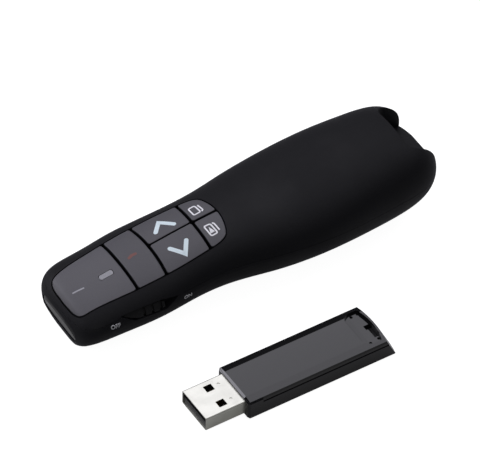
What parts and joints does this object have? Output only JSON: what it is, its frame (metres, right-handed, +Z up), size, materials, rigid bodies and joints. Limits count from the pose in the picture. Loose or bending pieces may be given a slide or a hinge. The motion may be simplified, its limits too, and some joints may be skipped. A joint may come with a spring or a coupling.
{
  "type": "wireless presentation clicker",
  "caption": "Hand-held wireless presentation clicker with grey keys, a pointer-light window, a side power slider and its plug-in receiver lying beside it.",
  "frame": {"origin": "middle of the flat under the palm that the clicker rests on, on the battery door's underside", "axes": "+X from the pointer-light nose towards the tail, +Y to the user's right, +Z up from the table"},
  "size_m": [0.1136, 0.0707, 0.0266],
  "materials": {
    "casing": "soft-touch black",
    "keys": "satin grey",
    "panel": "satin grey",
    "light_pipe": "clear milky plastic",
    "window": "gloss black",
    "slider": "satin black",
    "led": "clear red",
    "switch_body": "moulded black",
    "switch_button": "moulded cream",
    "board": "green solder mask",
    "chip": "moulded black",
    "crystal_can": "drawn can",
    "screws": "zinc plated",
    "barrel": "turned",
    "lens": "clear",
    "diode": "gilt can",
    "inner_plastic": "moulded dark grey",
    "cells": "plain printed sleeve",
    "contacts": "nickel plated spring steel",
    "plug": "bright tinned steel",
    "tongue": "moulded black",
    "gilt": "gold flash",
    "receiver_case": "gloss black"
  },
  "bodies": {
    "casing": {"upper_shell": "casing", "lower_shell": "casing", "key_switches": "switch_body", "switch_case": "switch_body", "indicator_panel": "panel", "light_pipe": "light_pipe", "status_led": "led", "front_window": "window", "main_board": "board", "radio_chip": "chip", "radio_crystal": "crystal_can", "board_screws": "screws", "case_screws": "screws", "laser_barrel": "barrel", "laser_lens": "lens", "laser_diode": "diode", "laser_holder": "inner_plastic", "inner_frame": "inner_plastic", "battery_left": "cells", "battery_right": "cells", "front_contacts": "contacts", "rear_contacts": "contacts"},
    "laser_key": {"laser_key": "keys", "laser_button": "switch_button"},
    "previous_key": {"previous_key": "keys", "previous_button": "switch_button"},
    "next_key": {"next_key": "keys", "next_button": "switch_button"},
    "play_key": {"play_key": "keys", "play_button": "switch_button"},
    "blank_key": {"blank_key": "keys", "blank_button": "switch_button"},
    "power_slider": {"power_slider": "slider", "switch_lever": "switch_button"},
    "battery_door": {"battery_door": "casing"},
    "receiver": {"receiver_cover": "receiver_case", "receiver_base": "receiver_case", "plug_shell": "plug", "plug_tongue": "tongue", "plug_contacts": "gilt", "receiver_board": "board", "receiver_chip": "chip"}
  },
  "joints": [
    {"name": "laser_key_press", "type": "slide", "parent": "casing", "child": "laser_key", "axis": [0, 0, -1], "range_m": [0, 0.0004], "stiffness_N_per_m": 1500, "springref_m": -0.0006},
    {"name": "previous_key_press", "type": "slide", "parent": "casing", "child": "previous_key", "axis": [0, 0, -1], "range_m": [0, 0.0004], "stiffness_N_per_m": 1500, "springref_m": -0.0006},
    {"name": "next_key_press", "type": "slide", "parent": "casing", "child": "next_key", "axis": [0, 0, -1], "range_m": [0, 0.0004], "stiffness_N_per_m": 1500, "springref_m": -0.0006},
    {"name": "play_key_press", "type": "slide", "parent": "casing", "child": "play_key", "axis": [0, 0, -1], "range_m": [0, 0.0004], "stiffness_N_per_m": 1500, "springref_m": -0.0006},
    {"name": "blank_key_press", "type": "slide", "parent": "casing", "child": "blank_key", "axis": [0, 0, -1], "range_m": [0, 0.0004], "stiffness_N_per_m": 1500, "springref_m": -0.0006},
    {"name": "power_slide", "type": "slide", "parent": "casing", "child": "power_slider", "axis": [0.999, 0, 0.0436], "range_m": [0, 0.0015]},
    {"name": "door_slide", "type": "slide", "parent": "casing", "child": "battery_door", "axis": [1, 0, 0], "range_m": [0, 0.06]},
    {"name": "receiver_lift", "type": "slide", "parent": "casing", "child": "receiver", "axis": [0, 0, 1], "range_m": [0, 0.06]}
  ]
}
